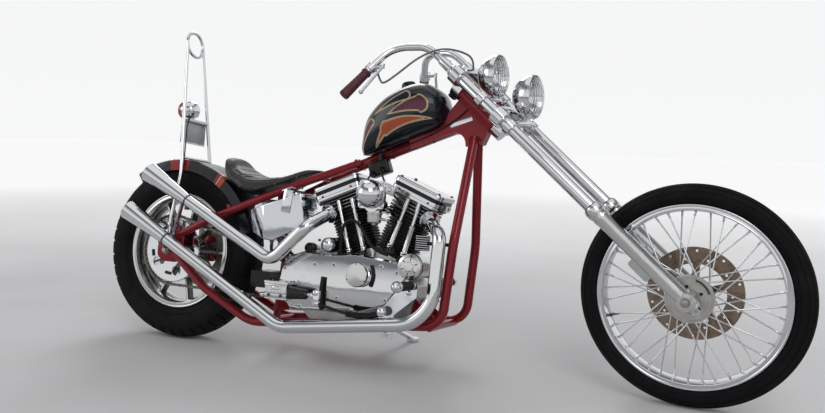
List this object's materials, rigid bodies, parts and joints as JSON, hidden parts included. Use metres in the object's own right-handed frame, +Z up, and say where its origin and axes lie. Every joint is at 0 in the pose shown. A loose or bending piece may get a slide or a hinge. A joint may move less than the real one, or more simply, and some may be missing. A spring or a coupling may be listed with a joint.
{
  "type": "chopper motorcycle",
  "caption": "Long-fork custom motorcycle with a rigid frame, V-twin engine, peanut tank and sissy bar, with turning wheels, steering and a folding side stand.",
  "frame": {"origin": "on the ground in the middle plane of the rear wheel, below its axle", "axes": "+X forward, +Y to the machine's left, +Z up"},
  "size_m": [2.5673, 0.718, 1.1999],
  "materials": {
    "black_fins": "satin",
    "black_metal": "satin",
    "black_rubber": "matte",
    "black_wheel": "satin",
    "chrome": "polished",
    "disc_steel": "brushed",
    "fender_paint": "gloss",
    "frame_paint": "gloss",
    "grip": "matte",
    "lens_glass": "polished",
    "plate": "satin",
    "polished_alloy": "polished",
    "red_lens": "gloss",
    "satin_alloy": "satin",
    "seat_leather": "satin",
    "steel": "brushed",
    "tank_paint": "gloss",
    "tyre": "matte"
  },
  "bodies": {
    "chassis": {"air_cleaner": "chrome", "battery_box": "black_metal", "brake_boot": "black_rubber", "brake_pedal": "chrome", "cam_cover": "polished_alloy", "carburettor": "chrome", "control_cables": "black_rubber", "crankcase": "satin_alloy", "cylinder_front": "black_fins", "cylinder_rear": "black_fins", "drive_chain": "steel", "electrics": "satin_alloy", "exhaust_front": "chrome", "exhaust_rear": "chrome", "foot_brackets": "chrome", "foot_pegs": "black_rubber", "frame_crossmembers": "frame_paint", "frame_downtubes": "frame_paint", "frame_neck": "frame_paint", "frame_rails": "frame_paint", "frame_stays": "frame_paint", "fuel_cap": "chrome", "fuel_tank": "tank_paint", "generator": "polished_alloy", "master_cylinder": "chrome", "number_plate": "plate", "oil_tank": "chrome", "primary_cover": "polished_alloy", "pushrod_tubes": "chrome", "rear_axle": "steel", "rear_caliper": "satin_alloy", "rear_fender": "fender_paint", "rocker_box_front": "chrome", "rocker_box_rear": "chrome", "seat": "seat_leather", "shift_lever": "chrome", "sissy_bar": "chrome", "tail_lamp": "chrome", "tail_lens": "red_lens"},
    "front_fork": {"brake_hose": "black_rubber", "fork_sliders": "satin_alloy", "fork_tubes": "chrome", "front_axle": "steel", "front_caliper": "satin_alloy", "grips": "grip", "hand_levers": "chrome", "handlebar": "chrome", "headlamp_lenses": "lens_glass", "headlamps": "chrome", "lamp_brackets": "chrome", "lower_clamp": "chrome", "upper_clamp": "chrome"},
    "front_wheel": {"front_disc": "disc_steel", "front_tyre": "tyre", "front_wheel_spoked": "chrome"},
    "rear_wheel": {"rear_disc": "disc_steel", "rear_sprocket": "chrome", "rear_tyre": "tyre", "rear_wheel_cast": "black_wheel"},
    "side_stand": {"side_stand": "chrome"}
  },
  "joints": [
    {"name": "steering", "type": "hinge", "parent": "chassis", "child": "front_fork", "pos_m": [1.24003, 0.11484, 0.83486], "axis": [-0.7496, 0.0905, 0.6557], "range_deg": [-20, 40]},
    {"name": "front_wheel_spin", "type": "hinge", "parent": "front_fork", "child": "front_wheel", "pos_m": [1.88412, 0.03749, 0.34499], "axis": [0.1151, 0.9933, -0.0056], "continuous": true},
    {"name": "rear_wheel_spin", "type": "hinge", "parent": "chassis", "child": "rear_wheel", "pos_m": [-0.00032, 0.04644, 0.33756], "axis": [0.0001, 0.9906, -0.1366], "continuous": true},
    {"name": "stand_fold", "type": "hinge", "parent": "chassis", "child": "side_stand", "pos_m": [0.7699, 0.19067, 0.11046], "axis": [0.0643, 0.5112, 0.857], "range_deg": [0, 105]}
  ]
}
